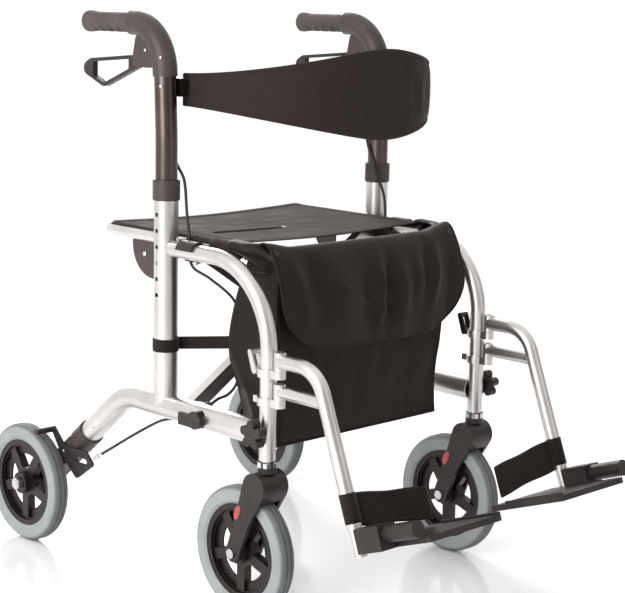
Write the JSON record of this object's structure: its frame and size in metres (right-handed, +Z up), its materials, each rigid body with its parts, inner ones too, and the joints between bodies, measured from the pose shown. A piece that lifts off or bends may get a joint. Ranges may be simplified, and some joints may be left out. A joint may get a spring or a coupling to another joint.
{
  "type": "rollator transport chair",
  "caption": "Folding walking frame on castor wheels that doubles as a transport chair, with fabric seat, bowed backrest, hand brakes, bag and swing-away footrests.",
  "frame": {"origin": "centre of the bounding box on the floor", "axes": "+Z up, -Y the walking direction of a seated rider (footrests), +X the object's left"},
  "size_m": [0.602, 0.9722, 0.898],
  "materials": {
    "aluminium_tube": "satin",
    "black_tube": "gloss",
    "grey_plastic": "matte",
    "black_plastic": "satin",
    "steel": "satin",
    "grip_rubber": "matte",
    "tyre": "matte",
    "cable_jacket": "satin",
    "webbing": "matte",
    "seat_fabric": "matte",
    "back_fabric": "matte",
    "bag_fabric": "matte"
  },
  "bodies": {
    "right_frame": {"rear_post_right": "aluminium_tube", "lower_rail_right": "aluminium_tube", "front_leg_right": "aluminium_tube", "post_collar_right": "grey_plastic", "axle_block_right": "grey_plastic", "rear_axle_right": "steel", "seat_cradle_right": "black_plastic", "brake_cable_right": "cable_jacket", "rail_clip": "black_plastic", "bag": "bag_fabric", "bag_straps": "webbing"},
    "front_brace": {"cross_brace_front": "aluminium_tube", "seat_guard_left": "grey_plastic"},
    "rear_brace": {"cross_brace_rear": "aluminium_tube", "seat_guard_right": "grey_plastic", "seat_sling": "seat_fabric"},
    "left_frame": {"rear_post_left": "aluminium_tube", "lower_rail_left": "aluminium_tube", "front_leg_left": "aluminium_tube", "post_collar_left": "grey_plastic", "axle_block_left": "grey_plastic", "rear_axle_left": "steel", "seat_cradle_left": "black_plastic", "brake_cable_left": "cable_jacket"},
    "backrest": {"backrest_pad": "back_fabric"},
    "bag_lid": {"bag_flap": "bag_fabric"},
    "handle_right": {"handle_tube_right": "black_tube", "brake_housing_right": "grey_plastic", "grip_right": "grip_rubber"},
    "lever_right": {"brake_lever_right": "black_plastic"},
    "brake_right": {"brake_arm_right": "black_plastic"},
    "button_right": {"height_button_right": "steel"},
    "castor_right": {"castor_fork_right": "black_plastic", "castor_axle_right": "steel"},
    "front_wheel_right": {"front_tyre_right": "tyre", "front_rim_right": "black_plastic"},
    "rear_wheel_right": {"rear_tyre_right": "tyre", "rear_rim_right": "black_plastic"},
    "footrest_right": {"footrest_hanger_right": "aluminium_tube", "heel_loop_right": "webbing"},
    "plate_right": {"footplate_right": "black_plastic"},
    "latch_right": {"hanger_latch_right": "steel"},
    "knob_right": {"star_knob_right": "black_plastic"},
    "handle_left": {"handle_tube_left": "black_tube", "brake_housing_left": "grey_plastic", "grip_left": "grip_rubber"},
    "lever_left": {"brake_lever_left": "black_plastic"},
    "brake_left": {"brake_arm_left": "black_plastic"},
    "button_left": {"height_button_left": "steel"},
    "castor_left": {"castor_fork_left": "black_plastic", "castor_axle_left": "steel"},
    "front_wheel_left": {"front_tyre_left": "tyre", "front_rim_left": "black_plastic"},
    "rear_wheel_left": {"rear_tyre_left": "tyre", "rear_rim_left": "black_plastic"},
    "footrest_left": {"footrest_hanger_left": "aluminium_tube", "heel_loop_left": "webbing"},
    "plate_left": {"footplate_left": "black_plastic"},
    "latch_left": {"hanger_latch_left": "steel"},
    "knob_left": {"star_knob_left": "black_plastic"}
  },
  "joints": [
    {"name": "fold", "type": "hinge", "parent": "right_frame", "child": "front_brace", "pos_m": [-0.2015, 0.03754, 0.288], "axis": [0, -1, 0], "range_deg": [0, 36], "deforming": ["seat_sling", "bag", "bag_flap", "bag_straps", "backrest_pad"]},
    {"name": "brace_scissor", "type": "hinge", "parent": "front_brace", "child": "rear_brace", "pos_m": [0, 0.04904, 0.417], "axis": [0, 1, 0], "range_deg": [0, 72]},
    {"name": "left_frame_turn", "type": "hinge", "parent": "rear_brace", "child": "left_frame", "pos_m": [0.2015, 0.06004, 0.288], "axis": [0, -1, 0], "range_deg": [0, 36]},
    {"name": "handle_height_right", "type": "slide", "parent": "right_frame", "child": "handle_right", "axis": [0, 0, 1], "range_m": [-0.05, 0.075], "deforming": ["brake_cable_right", "brake_cable_left"]},
    {"name": "handle_height_left", "type": "slide", "parent": "left_frame", "child": "handle_left", "axis": [0, 0, 1], "range_m": [-0.05, 0.075]},
    {"name": "backrest_flip", "type": "hinge", "parent": "handle_right", "child": "backrest", "pos_m": [0, 0.06004, 0.784], "axis": [-1, 0, 0], "range_deg": [0, 180]},
    {"name": "bag_lid_hinge", "type": "hinge", "parent": "right_frame", "child": "bag_lid", "pos_m": [0, -0.07496, 0.5441], "axis": [-1, 0, 0], "range_deg": [0, 100]},
    {"name": "brake_squeeze_right", "type": "hinge", "parent": "handle_right", "child": "lever_right", "pos_m": [-0.233, 0.12832, 0.822], "axis": [1, 0, 0], "range_deg": [0, 14], "stiffness_Nm_per_rad": 2, "springref_deg": -5.73},
    {"name": "brake_press_right", "type": "hinge", "parent": "right_frame", "child": "brake_right", "pos_m": [-0.253, 0.30809, 0.167], "axis": [-1, 0, 0], "range_deg": [0, 8]},
    {"name": "height_press_right", "type": "slide", "parent": "handle_right", "child": "button_right", "axis": [1, 0, 0], "range_m": [0, 0.004], "stiffness_N_per_m": 300, "springref_m": -0.002},
    {"name": "castor_swivel_right", "type": "hinge", "parent": "right_frame", "child": "castor_right", "pos_m": [-0.233, -0.17196, 0.24], "axis": [0, 0, 1], "continuous": true},
    {"name": "front_wheel_spin_right", "type": "hinge", "parent": "castor_right", "child": "front_wheel_right", "pos_m": [-0.233, -0.12396, 0.1], "axis": [1, 0, 0], "continuous": true},
    {"name": "rear_wheel_spin_right", "type": "hinge", "parent": "right_frame", "child": "rear_wheel_right", "pos_m": [-0.273, 0.38609, 0.1], "axis": [1, 0, 0], "continuous": true},
    {"name": "footrest_swing_right", "type": "hinge", "parent": "right_frame", "child": "footrest_right", "pos_m": [-0.233, -0.19596, 0.38], "axis": [0, 0, -1], "range_deg": [0, 90]},
    {"name": "footplate_flip_right", "type": "hinge", "parent": "footrest_right", "child": "plate_right", "pos_m": [-0.233, -0.36033, 0.178], "axis": [0, -0.9397, 0.342], "range_deg": [0, 90], "deforming": ["heel_loop_right"]},
    {"name": "hanger_latch_turn_right", "type": "hinge", "parent": "right_frame", "child": "latch_right", "pos_m": [-0.233, -0.14946, 0.383], "axis": [-1, 0, 0], "range_deg": [0, 25], "stiffness_Nm_per_rad": 0.3, "springref_deg": -17.19},
    {"name": "knob_turn_right", "type": "hinge", "parent": "right_frame", "child": "knob_right", "pos_m": [-0.258, -0.17196, 0.294], "axis": [1, 0, 0], "continuous": true},
    {"name": "brake_squeeze_left", "type": "hinge", "parent": "handle_left", "child": "lever_left", "pos_m": [0.233, 0.12832, 0.822], "axis": [1, 0, 0], "range_deg": [0, 14], "stiffness_Nm_per_rad": 2, "springref_deg": -5.73},
    {"name": "brake_press_left", "type": "hinge", "parent": "left_frame", "child": "brake_left", "pos_m": [0.253, 0.30809, 0.167], "axis": [-1, 0, 0], "range_deg": [0, 8]},
    {"name": "height_press_left", "type": "slide", "parent": "handle_left", "child": "button_left", "axis": [-1, 0, 0], "range_m": [0, 0.004], "stiffness_N_per_m": 300, "springref_m": -0.002},
    {"name": "castor_swivel_left", "type": "hinge", "parent": "left_frame", "child": "castor_left", "pos_m": [0.233, -0.17196, 0.24], "axis": [0, 0, 1], "continuous": true},
    {"name": "front_wheel_spin_left", "type": "hinge", "parent": "castor_left", "child": "front_wheel_left", "pos_m": [0.233, -0.12396, 0.1], "axis": [1, 0, 0], "continuous": true},
    {"name": "rear_wheel_spin_left", "type": "hinge", "parent": "left_frame", "child": "rear_wheel_left", "pos_m": [0.273, 0.38609, 0.1], "axis": [1, 0, 0], "continuous": true},
    {"name": "footrest_swing_left", "type": "hinge", "parent": "left_frame", "child": "footrest_left", "pos_m": [0.233, -0.19596, 0.38], "axis": [0, 0, 1], "range_deg": [0, 90]},
    {"name": "footplate_flip_left", "type": "hinge", "parent": "footrest_left", "child": "plate_left", "pos_m": [0.233, -0.36033, 0.178], "axis": [0, 0.9397, -0.342], "range_deg": [0, 90], "deforming": ["heel_loop_left"]},
    {"name": "hanger_latch_turn_left", "type": "hinge", "parent": "left_frame", "child": "latch_left", "pos_m": [0.233, -0.14946, 0.383], "axis": [-1, 0, 0], "range_deg": [0, 25], "stiffness_Nm_per_rad": 0.3, "springref_deg": -17.19},
    {"name": "knob_turn_left", "type": "hinge", "parent": "left_frame", "child": "knob_left", "pos_m": [0.258, -0.17196, 0.294], "axis": [1, 0, 0], "continuous": true}
  ],
  "couplings": [
    {"joint": "brace_scissor", "follows": "fold", "ratio": 2},
    {"joint": "left_frame_turn", "follows": "fold", "ratio": 1},
    {"joint": "handle_height_left", "follows": "handle_height_right", "ratio": 1},
    {"joint": "brake_press_right", "follows": "brake_squeeze_right", "ratio": 0.57143},
    {"joint": "footplate_flip_right", "follows": "fold", "ratio": 2.5},
    {"joint": "brake_press_left", "follows": "brake_squeeze_left", "ratio": 0.57143},
    {"joint": "footplate_flip_left", "follows": "fold", "ratio": 2.5}
  ]
}
